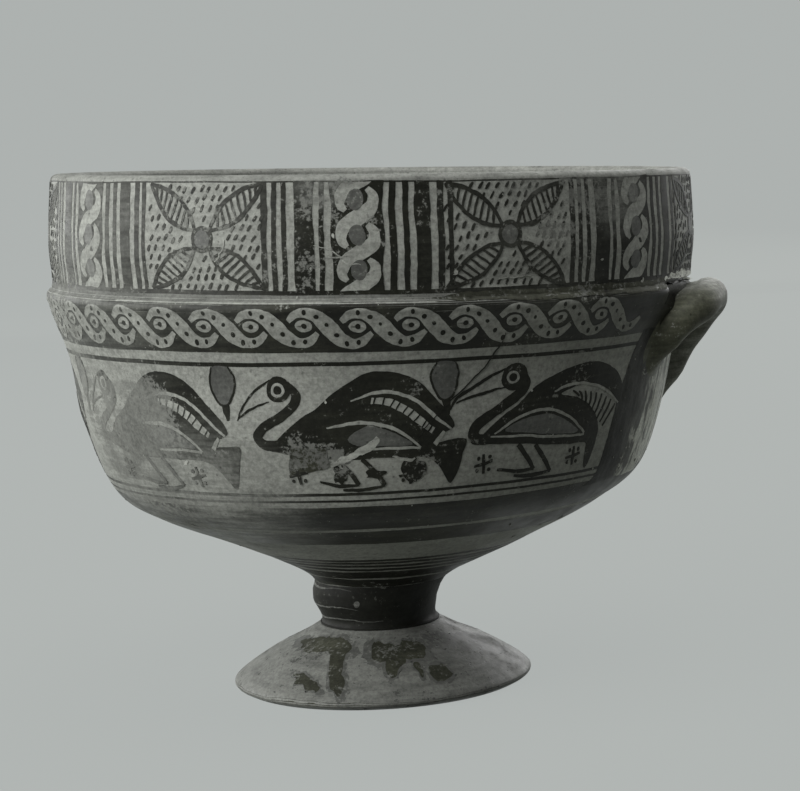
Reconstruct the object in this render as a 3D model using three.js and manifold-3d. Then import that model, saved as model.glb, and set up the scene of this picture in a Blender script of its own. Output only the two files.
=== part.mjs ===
// Painted bowl on a short stem and a flaring foot, with one rolled loop handle under its ridge.
// It is built as a potter builds it: collar, basin, stem and foot are thrown as separate rings, their
// edges are joined with luting slip, and the handle's two ends are pressed on with pads of clay.
// Millimetres, +Z up. z = 0 is the plane that the foot stands on, and the handle lies towards +X. The
// vessel is modelled round its own axis, and then set so that the origin is under the whole part's middle.

import * as THREE from 'three';
import { mergeVertices } from 'three/addons/utils/BufferGeometryUtils.js';
import Module from 'manifold-3d';

// Joints
const LUTING_SLIP = 0.6;          // thickness of the slip between two thrown rings
const PRESSED_GAP = 0.3;          // gap between clay pressed on and the wall that it follows
const SLIP_INSET = 0.8;           // how far the slip stops short of the visible edge

// Foot
const FOOT_HEIGHT = 19.6;
const FOOT_RADIUS = 48.6;         // at its widest
const FOOT_EDGE_HEIGHT = 2.9;     // height of the widest place
const FOOT_TOP_RADIUS = 19.9;
const FOOT_CROWN_RADIUS = 37.4;   // where the slope swells most
const FOOT_CROWN_HEIGHT = 11.4;
const REST_RADIUS = 46.3;         // outer edge of the ring that it stands on
const REST_WIDTH = 4.6;
const HOLLOW_RADIUS = 20;         // shoulder of the hollow under the foot
const HOLLOW_HEIGHT = 13;

// Stem
const STEM_HEIGHT = 13.4;
const STEM_BASE_RADIUS = 19.3;
const STEM_NECK_RADIUS = 18.8;
const STEM_NECK_HEIGHT = 2.2;
const STEM_RING_RADIUS = 20.5;    // the low swelling round its middle
const STEM_RING_HEIGHT = 7.6;
const STEM_TOP_RADIUS = 21.6;
const STEM_BORE = 9.2;            // radius of the hollow that runs up from the foot

// Basin, with heights from its own seat on the stem
const BASIN_HEIGHT = 97.4;
const BASIN_WALL = 6;
const BASIN_FLOOR = 7;
const BASIN_SEAT_RADIUS = 21.8;
const CONE_START_RADIUS = 28;     // foot of the straight underside
const CONE_START_HEIGHT = 4.3;
const CONE_END_RADIUS = 73.4;
const CONE_END_HEIGHT = 25.8;
const KNEE_RADIUS = 86.2;
const KNEE_HEIGHT = 35.8;
const WALL_RADIUS = 94.2;
const WALL_HEIGHT = 57;
const WAIST_RADIUS = 97.9;        // below the flare to the ridge
const WAIST_HEIGHT = 75.5;
const FLARE_RADIUS = 103.5;       // where the flare runs into the ridge
const FLARE_HEIGHT = 90.2;
const RIDGE_RADIUS = 105.1;
const RIDGE_HEIGHT = 95.2;
const RIDGE_PROUD = 1.7;          // how far the ridge stands out from the collar

// Collar, with heights from its own seat on the basin
const COLLAR_HEIGHT = 33.8;
const COLLAR_WALL = 5.2;
const COLLAR_NECK_RADIUS = 103.1;
const COLLAR_NECK_HEIGHT = 3.6;
const COLLAR_BELLY_RADIUS = 103.9;
const COLLAR_BELLY_HEIGHT = 14.5;
const LIP_RADIUS = 102.9;
const LIP_CROWN = 1.8;            // height of the rounded top of the lip

// Handle
const ROD_RADIUS = 5.6;
const ROOT_RADIUS = 6.6;          // the rod thickens to this at its roots
const CREST_GAP = 1;              // between the rod's crest and the wall
const CREST_DROP = 3.4;           // how far the crest's centre lies below the ridge
const FRONT_ROOT_DROP = 17.4;     // the loop is set askew: one root sits higher than the other
const BACK_ROOT_DROP = 34.4;
const ROOT_SPREAD = 14;           // degrees from the middle of the loop to each root
const ROOT_SINK = 1;              // how deep the rod's end is set into the wall
const ARM_RISE = 0.45;            // share of the climb up to which an arm runs straight
const ARM_SPREAD = 0.97;          // how far it has then come in towards the middle
const BEND_RISE = 0.85;           // share of the climb where an arm bends over to the crest
const BEND_SPREAD = 0.62;
const PAD_RADIUS = 11;
const PAD_THICKNESS = 4;

// Fineness of the facets
const ROUND_FACETS = 60;
const FOOT_STEPS = 10;
const HOLLOW_STEPS = 6;
const STEM_STEPS = 8;
const BASIN_STEPS = 20;
const RIDGE_STEPS = 5;
const COLLAR_STEPS = 7;
const LIP_STEPS = 6;
const ROD_STEPS = 34;
const ROD_SIDES = 12;
const PAD_SIDES = 22;

const wasm = await Module();
wasm.setup();

const stemZ = FOOT_HEIGHT + LUTING_SLIP;
const basinZ = stemZ + STEM_HEIGHT + LUTING_SLIP;
const collarZ = basinZ + BASIN_HEIGHT + LUTING_SLIP;
const ridgeZ = basinZ + RIDGE_HEIGHT;
const collarBaseRadius = RIDGE_RADIUS - RIDGE_PROUD;

const paleClay = { color: 0x8b8e8a, roughness: 0.72, metalness: 0 };
const darkClay = { color: 0x3a3b37, roughness: 0.6, metalness: 0 };
const footClay = { color: 0x6b6d69, roughness: 0.78, metalness: 0 };
const slipClay = { color: 0x7c7e7a, roughness: 0.85, metalness: 0 };

const vessel = new THREE.Group();

function addPiece(name, geometry, finish, z = 0) {
  const mesh = new THREE.Mesh(geometry, new THREE.MeshStandardMaterial(finish));
  mesh.name = name;
  mesh.position.z = z;
  vessel.add(mesh);
}

// A point of a profile: distance from the axis, then height.
function at(radius, height) {
  return new THREE.Vector2(radius, height);
}

function smooth(points, count) {
  return new THREE.SplineCurve(points).getSpacedPoints(count);
}

// The same line moved sideways by a wall's thickness, towards the axis for a line that climbs.
function offsetInward(points, wall) {
  return points.map((point, i) => {
    const before = points[Math.max(i - 1, 0)];
    const after = points[Math.min(i + 1, points.length - 1)];
    const along = after.clone().sub(before).normalize();
    return at(point.x - along.y * wall, point.y + along.x * wall);
  });
}

// Turns a closed outline, listed anticlockwise with the axis on its left, round the vessel's axis.
function revolve(outline) {
  const closed = outline[0].x === 0 ? outline : [...outline, outline[0]];
  const geometry = new THREE.LatheGeometry(closed, ROUND_FACETS);
  geometry.rotateX(Math.PI / 2);
  return geometry;
}

function flatRing(inner, outer, thickness) {
  return revolve([at(inner, 0), at(outer, 0), at(outer, thickness), at(inner, thickness)]);
}

function toSolid(geometry) {
  const bare = geometry.clone();
  bare.deleteAttribute('normal');
  bare.deleteAttribute('uv');
  const merged = mergeVertices(bare, 1e-4);
  const mesh = new wasm.Mesh({
    numProp: 3,
    vertProperties: new Float32Array(merged.attributes.position.array),
    triVerts: new Uint32Array(merged.index.array),
  });
  return new wasm.Manifold(mesh);
}

function toGeometry(solid) {
  const mesh = solid.getMesh();
  const geometry = new THREE.BufferGeometry();
  geometry.setAttribute('position', new THREE.BufferAttribute(mesh.vertProperties, 3));
  geometry.setIndex(new THREE.BufferAttribute(mesh.triVerts, 1));
  geometry.computeVertexNormals();
  return geometry;
}

// Foot: a swelling cone with a rolled edge, standing on a flat ring and hollow underneath.
function footOutline() {
  const slope = smooth([
    at(REST_RADIUS, 0),
    at(FOOT_RADIUS, FOOT_EDGE_HEIGHT),
    at(FOOT_CROWN_RADIUS, FOOT_CROWN_HEIGHT),
    at(FOOT_TOP_RADIUS, FOOT_HEIGHT),
  ], FOOT_STEPS);
  const hollow = new THREE.QuadraticBezierCurve(
    at(STEM_BORE, FOOT_HEIGHT),
    at(HOLLOW_RADIUS, HOLLOW_HEIGHT),
    at(REST_RADIUS - REST_WIDTH, 0),
  ).getSpacedPoints(HOLLOW_STEPS);
  return [...slope, ...hollow];
}
addPiece('foot', revolve(footOutline()), footClay);
addPiece(
  'foot_luting_slip',
  flatRing(STEM_BORE, STEM_BASE_RADIUS - SLIP_INSET, LUTING_SLIP),
  slipClay,
  FOOT_HEIGHT,
);

// Stem: a short hollow drum with a low swelling round its middle.
function stemOutline() {
  const outside = smooth([
    at(STEM_BASE_RADIUS, 0),
    at(STEM_NECK_RADIUS, STEM_NECK_HEIGHT),
    at(STEM_RING_RADIUS, STEM_RING_HEIGHT),
    at(STEM_TOP_RADIUS, STEM_HEIGHT),
  ], STEM_STEPS);
  return [...outside, at(STEM_BORE, STEM_HEIGHT), at(STEM_BORE, 0)];
}
addPiece('stem', revolve(stemOutline()), darkClay, stemZ);
addPiece(
  'stem_luting_slip',
  flatRing(STEM_BORE, STEM_TOP_RADIUS - SLIP_INSET, LUTING_SLIP),
  slipClay,
  stemZ + STEM_HEIGHT,
);

// Basin: a cone below, a round knee, and a steep wall that flares to a rounded ridge at its top edge.
function basinOutside() {
  const wall = smooth([
    at(BASIN_SEAT_RADIUS, 0),
    at(CONE_START_RADIUS, CONE_START_HEIGHT),
    at((CONE_START_RADIUS + CONE_END_RADIUS) / 2, (CONE_START_HEIGHT + CONE_END_HEIGHT) / 2),
    at(CONE_END_RADIUS, CONE_END_HEIGHT),
    at(KNEE_RADIUS, KNEE_HEIGHT),
    at(WALL_RADIUS, WALL_HEIGHT),
    at(WAIST_RADIUS, WAIST_HEIGHT),
    at(FLARE_RADIUS, FLARE_HEIGHT),
  ], BASIN_STEPS);
  const ridge = new THREE.EllipseCurve(
    collarBaseRadius, RIDGE_HEIGHT, RIDGE_PROUD, BASIN_HEIGHT - RIDGE_HEIGHT, -Math.PI / 4, Math.PI / 2,
  ).getPoints(RIDGE_STEPS);
  return [...wall, ...ridge];
}
const basinSkin = basinOutside();

function basinOutline() {
  const wallStart = basinSkin.filter((p) => p.x > CONE_START_RADIUS && p.y < WAIST_HEIGHT);
  const inside = offsetInward(wallStart, BASIN_WALL);
  const rim = at(collarBaseRadius - COLLAR_WALL, BASIN_HEIGHT);
  return [at(0, 0), ...basinSkin, rim, ...inside.reverse(), at(0, BASIN_FLOOR)];
}
addPiece('basin', revolve(basinOutline()), paleClay, basinZ);
addPiece(
  'collar_luting_slip',
  flatRing(collarBaseRadius - COLLAR_WALL, collarBaseRadius - SLIP_INSET, LUTING_SLIP),
  slipClay,
  basinZ + BASIN_HEIGHT,
);

// Collar: the upright rim wall, slightly barrel-shaped, with a rounded lip.
function collarOutline() {
  const outside = smooth([
    at(collarBaseRadius, 0),
    at(COLLAR_NECK_RADIUS, COLLAR_NECK_HEIGHT),
    at(COLLAR_BELLY_RADIUS, COLLAR_BELLY_HEIGHT),
    at(LIP_RADIUS, COLLAR_HEIGHT - LIP_CROWN),
  ], COLLAR_STEPS);
  const halfWall = COLLAR_WALL / 2;
  const lip = new THREE.EllipseCurve(
    LIP_RADIUS - halfWall, COLLAR_HEIGHT - LIP_CROWN, halfWall, LIP_CROWN, 0, Math.PI,
  ).getPoints(LIP_STEPS).slice(1, -1);
  const inside = offsetInward(outside.slice(1, -1), COLLAR_WALL).reverse();
  return [
    ...outside,
    ...lip,
    at(LIP_RADIUS - COLLAR_WALL, COLLAR_HEIGHT - LIP_CROWN),
    ...inside,
    at(collarBaseRadius - COLLAR_WALL, 0),
  ];
}
addPiece('collar', revolve(collarOutline()), paleClay, collarZ);

// The space that the wall fills, grown by the pressed gap, for cutting what is pressed on to it.
function wallCutter() {
  const grown = offsetInward(basinSkin, -PRESSED_GAP);
  const geometry = revolve([at(0, 0), ...grown, at(0, BASIN_HEIGHT)]);
  geometry.translate(0, 0, basinZ);
  return toSolid(geometry);
}

function wallRadiusAt(z) {
  const height = z - basinZ;
  const above = basinSkin.findIndex((p) => p.y >= height);
  const low = basinSkin[above - 1];
  const high = basinSkin[above];
  return low.x + (high.x - low.x) * (height - low.y) / (high.y - low.y);
}

function polar(radius, degrees, z) {
  const angle = THREE.MathUtils.degToRad(degrees);
  return new THREE.Vector3(radius * Math.cos(angle), radius * Math.sin(angle), z);
}

// Handle: a rolled rod bent into a loop that climbs from two roots on the wall to a crest by the ridge.
const crestZ = ridgeZ - CREST_DROP;
const crestRadius = wallRadiusAt(crestZ) + CREST_GAP + ROD_RADIUS;
const roots = {
  front: { side: -1, z: ridgeZ - FRONT_ROOT_DROP },
  back: { side: 1, z: ridgeZ - BACK_ROOT_DROP },
};

// A point of one arm: climbed runs from 0 at the root to 1 at the crest, spread from 1 down to 0.
function armPoint(root, climbed, spread) {
  const start = wallRadiusAt(root.z) - ROOT_SINK;
  const radius = start + (crestRadius - start) * climbed;
  return polar(radius, root.side * ROOT_SPREAD * spread, root.z + (crestZ - root.z) * climbed);
}

const handleLine = new THREE.CatmullRomCurve3([
  armPoint(roots.front, 0, 1),
  armPoint(roots.front, ARM_RISE, ARM_SPREAD),
  armPoint(roots.front, BEND_RISE, BEND_SPREAD),
  polar(crestRadius, 0, crestZ),
  armPoint(roots.back, BEND_RISE, BEND_SPREAD),
  armPoint(roots.back, ARM_RISE, ARM_SPREAD),
  armPoint(roots.back, 0, 1),
]);

// A round rod lofted along the handle's line, thicker at its two ends.
function handleRod(extra) {
  const frames = handleLine.computeFrenetFrames(ROD_STEPS);
  const positions = [];
  const faces = [];
  for (let i = 0; i <= ROD_STEPS; i += 1) {
    const share = i / ROD_STEPS;
    const ends = Math.abs(2 * share - 1) ** 4;
    const radius = ROD_RADIUS + (ROOT_RADIUS - ROD_RADIUS) * ends + extra;
    const centre = handleLine.getPointAt(share);
    for (let k = 0; k < ROD_SIDES; k += 1) {
      const turn = 2 * Math.PI * k / ROD_SIDES;
      const point = centre.clone();
      point.addScaledVector(frames.normals[i], radius * Math.cos(turn));
      point.addScaledVector(frames.binormals[i], radius * Math.sin(turn));
      positions.push(point.x, point.y, point.z);
    }
  }
  const ringStart = (i) => i * ROD_SIDES;
  for (let i = 0; i < ROD_STEPS; i += 1) {
    for (let k = 0; k < ROD_SIDES; k += 1) {
      const next = (k + 1) % ROD_SIDES;
      const a = ringStart(i) + k;
      const b = ringStart(i) + next;
      const c = ringStart(i + 1) + next;
      const d = ringStart(i + 1) + k;
      faces.push(a, b, c, a, c, d);
    }
  }
  for (let k = 1; k < ROD_SIDES - 1; k += 1) {
    const last = ringStart(ROD_STEPS);
    faces.push(0, k + 1, k, last, last + k, last + k + 1);
  }
  const geometry = new THREE.BufferGeometry();
  geometry.setAttribute('position', new THREE.Float32BufferAttribute(positions, 3));
  geometry.setIndex(faces);
  return geometry;
}

const wallSpace = wallCutter();
const handleSolid = toSolid(handleRod(0)).subtract(wallSpace);
addPiece('handle', toGeometry(handleSolid), darkClay);

// Pads of clay pressed round the two roots, lying on the wall.
const handleSpace = toSolid(handleRod(PRESSED_GAP));
for (const [name, root] of Object.entries(roots)) {
  const dome = new THREE.SphereGeometry(1, PAD_SIDES, PAD_SIDES / 2);
  dome.scale(PAD_THICKNESS, PAD_RADIUS, PAD_RADIUS);
  const middle = polar(wallRadiusAt(root.z), root.side * ROOT_SPREAD, root.z);
  dome.rotateZ(THREE.MathUtils.degToRad(root.side * ROOT_SPREAD));
  dome.translate(middle.x, middle.y, middle.z);
  const pad = toSolid(dome).subtract(wallSpace).subtract(handleSpace);
  addPiece(`handle_pad_${name}`, toGeometry(pad), darkClay);
}

// With one handle the part reaches further to +X, so the vessel's axis stands a little to -X.
const reach = new THREE.Box3().setFromObject(vessel);
vessel.position.x = -(reach.min.x + reach.max.x) / 2;

const bowl = new THREE.Group();
bowl.add(vessel);
export default bowl;
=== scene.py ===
import math
import random

import bmesh
import bpy
from mathutils import Matrix, Vector, noise


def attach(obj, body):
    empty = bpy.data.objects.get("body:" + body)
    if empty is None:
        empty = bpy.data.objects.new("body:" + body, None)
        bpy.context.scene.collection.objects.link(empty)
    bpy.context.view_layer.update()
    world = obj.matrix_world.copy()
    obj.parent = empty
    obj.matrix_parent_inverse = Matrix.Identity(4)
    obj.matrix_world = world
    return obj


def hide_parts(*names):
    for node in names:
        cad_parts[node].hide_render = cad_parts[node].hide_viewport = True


# Painted bowl: a thrown basin and collar on a stem and foot, one rolled handle, and paint laid on the wall.
# Drawings are in millimetres. Angles run round the vessel in degrees, 0 at the side that the camera sees.

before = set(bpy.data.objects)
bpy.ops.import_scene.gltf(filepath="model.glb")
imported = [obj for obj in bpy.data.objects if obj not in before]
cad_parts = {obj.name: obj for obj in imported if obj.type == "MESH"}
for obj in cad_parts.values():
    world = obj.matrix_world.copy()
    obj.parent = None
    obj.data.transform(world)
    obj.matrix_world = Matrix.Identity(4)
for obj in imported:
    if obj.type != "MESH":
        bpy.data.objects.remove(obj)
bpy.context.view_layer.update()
mm = 0.001
scene = bpy.context.scene
scene.view_settings.view_transform = "Standard"
print("frame loaded,", len(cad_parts), "nodes")

view = {
    "azimuth": 12,          # degrees, from the front of the frame towards +X
    "distance": 785,
    "height": 175.8,
    "pitch": 6.0,
    "roll": 3.19,           # the picture's levels rise to the right
    "lens": 108.42,
    "sensor": 36,
    "shift": (0.0358, 0.0023),
    "nearest": 0.05,        # metres
}
frontAngle = view["azimuth"] - 90       # the frame's own angle of the side that faces the camera


# Lines and profiles

def smoothLine(points, steps, closed=False):        # a soft line through every point
    count = len(points)

    def pick(i):
        return Vector(points[i % count] if closed else points[min(max(i, 0), count - 1)])

    line = []
    for i in range(count if closed else count - 1):
        a, b, c, d = (pick(i + k) for k in (-1, 0, 1, 2))
        for s in range(steps):
            t = s / steps
            line.append(0.5 * (2 * b + (c - a) * t + (2 * a - 5 * b + 4 * c - d) * t ** 2
                               + (3 * b - a - 3 * c + d) * t ** 3))
    return line if closed else line + [pick(count - 1)]


def between(table, x):          # straight steps between the rows of a two-column table
    for (x0, y0), (x1, y1) in zip(table, table[1:]):
        if x <= x1:
            return y0 + (y1 - y0) * max(0, x - x0) / (x1 - x0)
    return table[-1][1]


def ease(x):
    x = min(max(x, 0), 1)
    return x * x * (3 - 2 * x)


def insetLine(line, wall):      # the same profile moved towards the axis by a wall's thickness
    moved = []
    for i, p in enumerate(line):
        run = (line[min(i + 1, len(line) - 1)] - line[max(i - 1, 0)]).normalized()
        moved.append(Vector((p.x - run.y * wall, p.y + run.x * wall)))
    return moved


def arcLine(cx, cy, rx, ry, start, end, steps):
    angles = [math.radians(start + (end - start) * i / steps) for i in range(steps + 1)]
    return [Vector((cx + rx * math.cos(a), cy + ry * math.sin(a))) for a in angles]


def polar(radius, turn, z):     # a point by its distance from the axis, its angle and its height
    angle = math.radians(turn)
    return Vector((radius * math.cos(angle), radius * math.sin(angle), z))


def halfTurn(turn):             # the same angle, counted from -180 to 180
    return (turn + 180) % 360 - 180


foot = {
    "slope": [(46.3, 0), (48.6, 2.9), (37.2, 10.6), (27.2, 15.4), (19.9, 19.6)],      # radius, height
    "hollow": [(9.2, 19.6), (17.0, 14.4), (29.3, 6.9), (41.7, 0)],
    "slip": (19.6, 20.2, 9.2, 19.6),        # low, high, inner, outer
}
stem = {
    "outside": [(19.3, 20.2), (18.8, 22.4), (20.5, 27.8), (21.6, 33.6)],
    "bore": 9.2,
    "slip": (33.6, 34.2, 9.2, 21.7),
}
basin = {
    "outside": [(21.8, 34.2), (28, 38.5), (50.7, 49.25), (73.4, 60), (86.2, 70), (94.2, 91.2), (97.9, 109.7),
                (103.5, 124.4)],
    "ridge": (103.4, 129.4, 1.7, 2.2),      # centre radius and height, then how far it stands out and up
    "wall": 6,
    "floor": 41.2,
    "rim": (98.2, 131.6),
    "inside": (28, 107),        # the hollow follows the wall beyond this radius and below this height
    "slip": (131.6, 132.2, 98.2, 103.4),
}
collar = {
    "outside": [(103.4, 132.2), (103.1, 135.8), (103.9, 146.7), (102.9, 164.2)],
    "lip": (100.3, 164.2, 2.6, 1.8),        # as the ridge
    "wall": 5.2,
    "darkTop": 150,             # the dark slip inside ends here
}

footSlope = smoothLine(foot["slope"], 10)
stemOutside = smoothLine(stem["outside"], 8)
basinOutside = smoothLine(basin["outside"], 10) + arcLine(*basin["ridge"], -45, 90, 10)
collarOutside = smoothLine(collar["outside"], 10)
skin = [(p.y, p.x) for p in footSlope + stemOutside + basinOutside + collarOutside]     # height, radius


# The bowl leans and sags a little, as it came from the kiln

kiln = {
    "axis": Vector((-5.51, 0, 0)),      # where the vessel's axis stands in the frame
    "drift": [(0, -1.2), (20, -1.2), (24, -1.8), (27.5, -2.4), (31, -1.7), (35, 0.3), (40, 2.2), (45, 3.3), (54, 2.8),
              (60, 1.3), (65, 0.7), (95, 0.5), (127, 2.0), (166, 3.6)],      # height, way aside
    "tilt": [(0, 0), (30, 0.36), (62, 0.07), (95, 0.49), (127, 2.05), (166, 2.55)],     # degrees
    "rise": [(0, 0), (146, 0), (166, 1.3)],
}
dent = {                # the ridge is broken by the handle
    "turns": (58, 100),
    "heights": (123.6, 133.2),
    "depth": 2.8,
    "fades": (5, 5, 5, 2),      # how softly it starts and ends, in angle and then in height
    "reach": (-1.5, 0.6),       # only clay this near the wall's surface is lost
    "rough": (0.9, 0.3, 0.2),   # share of the depth, its swing, and how quickly it swings
}
slopeStep = 0.3         # heights this far to each side give the wall's slope
leanWay = polar(1, view["azimuth"], 0)


def dented(point):              # the clay lost at a point of the outer wall
    (start, end), (low, high) = dent["turns"], dent["heights"]
    if not low < point.z < high:
        return 0
    turn = halfTurn(math.degrees(math.atan2(point.y, point.x)) - frontAngle)
    stands = point.xy.length - between(skin, point.z)
    if not start < turn < end or not dent["reach"][0] < stands < dent["reach"][1]:
        return 0
    a, b, c, d = dent["fades"]
    edge = ease((turn - start) / a) * ease((end - turn) / b) * ease((point.z - low) / c) * ease((high - point.z) / d)
    share, swing, quick = dent["rough"]
    return dent["depth"] * edge * (share + swing * noise.noise(point * quick))


def fired(point):               # a point in millimetres on the true round vessel, moved to where the kiln left it
    lost = dented(point)
    if lost:
        point = Vector((*(point.xy * (1 - lost / point.xy.length)), point.z))
    side = point.dot(leanWay)
    tilt = math.radians(between(kiln["tilt"], point.z))
    across = between(kiln["drift"], point.z) + side * math.cos(tilt) - side
    rise = between(kiln["rise"], point.z) - side * math.sin(tilt)
    return point + kiln["axis"] + leanWay * across + Vector((0, 0, rise))


def onWall(turn, z, lift=0):    # a point on the painted wall, lifted along its normal
    slope = (between(skin, z + slopeStep) - between(skin, z - slopeStep)) / (2 * slopeStep)
    out = Vector((1, -slope)).normalized()
    return polar(between(skin, z) + out.x * lift, turn + frontAngle, z + out.y * lift)


# Making pieces

darkClay, paleClay, luting = "dark_painted_clay", "pale_painted_clay", "luting_slip"       # slots
sharpEdge = math.radians(50)


def asMesh(bm, name):
    mesh = bpy.data.meshes.new(name)
    bm.to_mesh(mesh)
    bm.free()
    return mesh


def addObject(name, data):
    thing = bpy.data.objects.new(name, data)
    scene.collection.objects.link(thing)
    return thing


def finishPiece(bm, name, coats, nodes=(), normals=None):
    mesh = asMesh(bm, name)
    for coat in coats:
        mesh.materials.append(coat)
    mesh.shade_smooth()
    if normals:
        mesh.normals_split_custom_set_from_vertices(normals)
    else:
        mesh.set_sharp_from_angle(angle=sharpEdge)
    piece = addObject(name, mesh)
    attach(piece, "root")
    if nodes:
        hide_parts(*nodes)


def spinOutline(outline, steps=240):        # turns an outline round the axis, closed unless it starts on the axis
    bm = bmesh.new()
    ring = [bm.verts.new((r, 0, z)) for r, z in outline]
    ends = ring[1:] if outline[0][0] == 0 else ring[1:] + ring[:1]
    edges = [bm.edges.new(pair) for pair in zip(ring, ends)]
    bmesh.ops.spin(bm, geom=ring + edges, cent=(0, 0, 0), axis=(0, 0, 1), angle=2 * math.pi, steps=steps,
                   use_merge=True)
    bmesh.ops.remove_doubles(bm, verts=bm.verts[:], dist=1e-4)
    bmesh.ops.recalc_face_normals(bm, faces=bm.faces[:])
    return bm


def fireAll(bm):
    for v in bm.verts:
        v.co = fired(v.co) * mm


# Finishes

neutral = (0.995, 1.01, 0.965)
inky = (0.98, 1.0, 0.85)        # the dark paint is a little brown


def addNode(tree, kind, inputs=None, **settings):
    node = tree.nodes.new(kind)
    for key, value in settings.items():
        setattr(node, key, value)
    for key, value in (inputs or {}).items():
        if isinstance(value, bpy.types.NodeSocket):
            tree.links.new(value, node.inputs[key])
        else:
            node.inputs[key].default_value = value
    return node


def grey(level, tint=neutral):      # a near-neutral colour from a display level of 0 to 255
    def linear(x):
        x = x / 255
        return x / 12.92 if x <= 0.04045 else ((x + 0.055) / 1.055) ** 2.4
    return tuple(linear(level * share) for share in tint) + (1,)


worn = {        # angle, height, reach and strength of the places where paint is rubbed bare or has paled, and of painted light that pales it
    "rubbed": [(-63, 98, 23, 1.0), (-47, 98, 20, 1.0), (-57, 87, 22, 1.0), (-46, 85, 14, 0.8), (-14, 87, 10, 0.4),
               (-8, 84, 9, 0.5), (-30, 152, 22, 0.35), (-12, 140, 14, 0.3), (-7, 160, 12, 0.4), (31, 150, 10, 0.6),
               (36, 161, 12, 0.5), (-50, 66, 20, 0.5), (-70, 124, 26, 0.5), (8, 80, 9, 0.3)],
    # paled spots: faded paint, and painted light as well: the lit crest and back arm of the handle, and a painted sheen
    # down the wall's right edge under the handle
    "fadedAndLit": [(-62, 150, 70, 0.5), (-30, 152, 40, 0.3), (-64, 98, 50, 0.5), (-50, 64, 52, 1.0), (-72, 124, 40, 0.4),
              (-8, 165, 12, 0.7), (25, 165, 12, 0.55), (44, 161, 18, 0.8), (26, 150, 42, 0.15), (80, 152, 16, 0.6),
              (78, 122, 26, 0.85), (92, 108, 20, 0.6), (-36, 66, 42, 1.0), (81, 107, 15, 0.9), (76, 99, 23, 1.0),
              (73, 90, 27, 1.0), (69, 81, 25, 0.9), (65, 74, 18, 0.6)],
    "core": 0.35,                   # share of the reach that is worn the most
}
brushwork = {
    "level": (0.25, 0.25, 2.4),     # stretches brush lines round the pot
    "upright": (1.2, 1.2, 0.08),    # or up and down
    "mottle": (34, 5, 0.6),         # noises: scale, detail, roughness
    "blotch": (120, 5, 0.6),
    "streak": (260, 4, 0.6),
    "grain": (640, 2, 0.8),
    "lineGain": 0.36,               # how far fading and painted light bring out upright lines
    "lines": (0.66, 0.84),          # ramps: from, to, and the values there if they aren't 0 and 1
    "lineStart": (0.0, 0.3),
    "lineLeast": 0.3,
    "fadedAndLitEdge": (0.36, 0.62, 0.55, 1.2),
    "lossMix": (0.17, 0.45, 0.38, 0.26, 0.2),       # shares of streak, grain, blotch, rubbing and wear
    "bare": (0.6, 0.68),
    "thinMix": (0.6, 0.4),          # shares of streak and mottle
    "thin": (0.42, 0.66),
    "cloudMix": (0.4, 0.6),         # shares of mottle and grain
    "cloud": (0.28, 0.72, 0.6, 1.32),
    "pitScale": 330,
    "pits": (0.16, 0.08),
    "pitPlaces": (0.42, 0.6),
    "pitDark": 0.45,
    "bareRough": 0.8,
    "uneven": (0.35, 0.65, -0.06, 0.08),
    "reliefMix": (0.5, 0.5),        # shares of grain and streak
    "bareDepth": 0.35,
    "relief": 0.0004,               # metres
}


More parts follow.
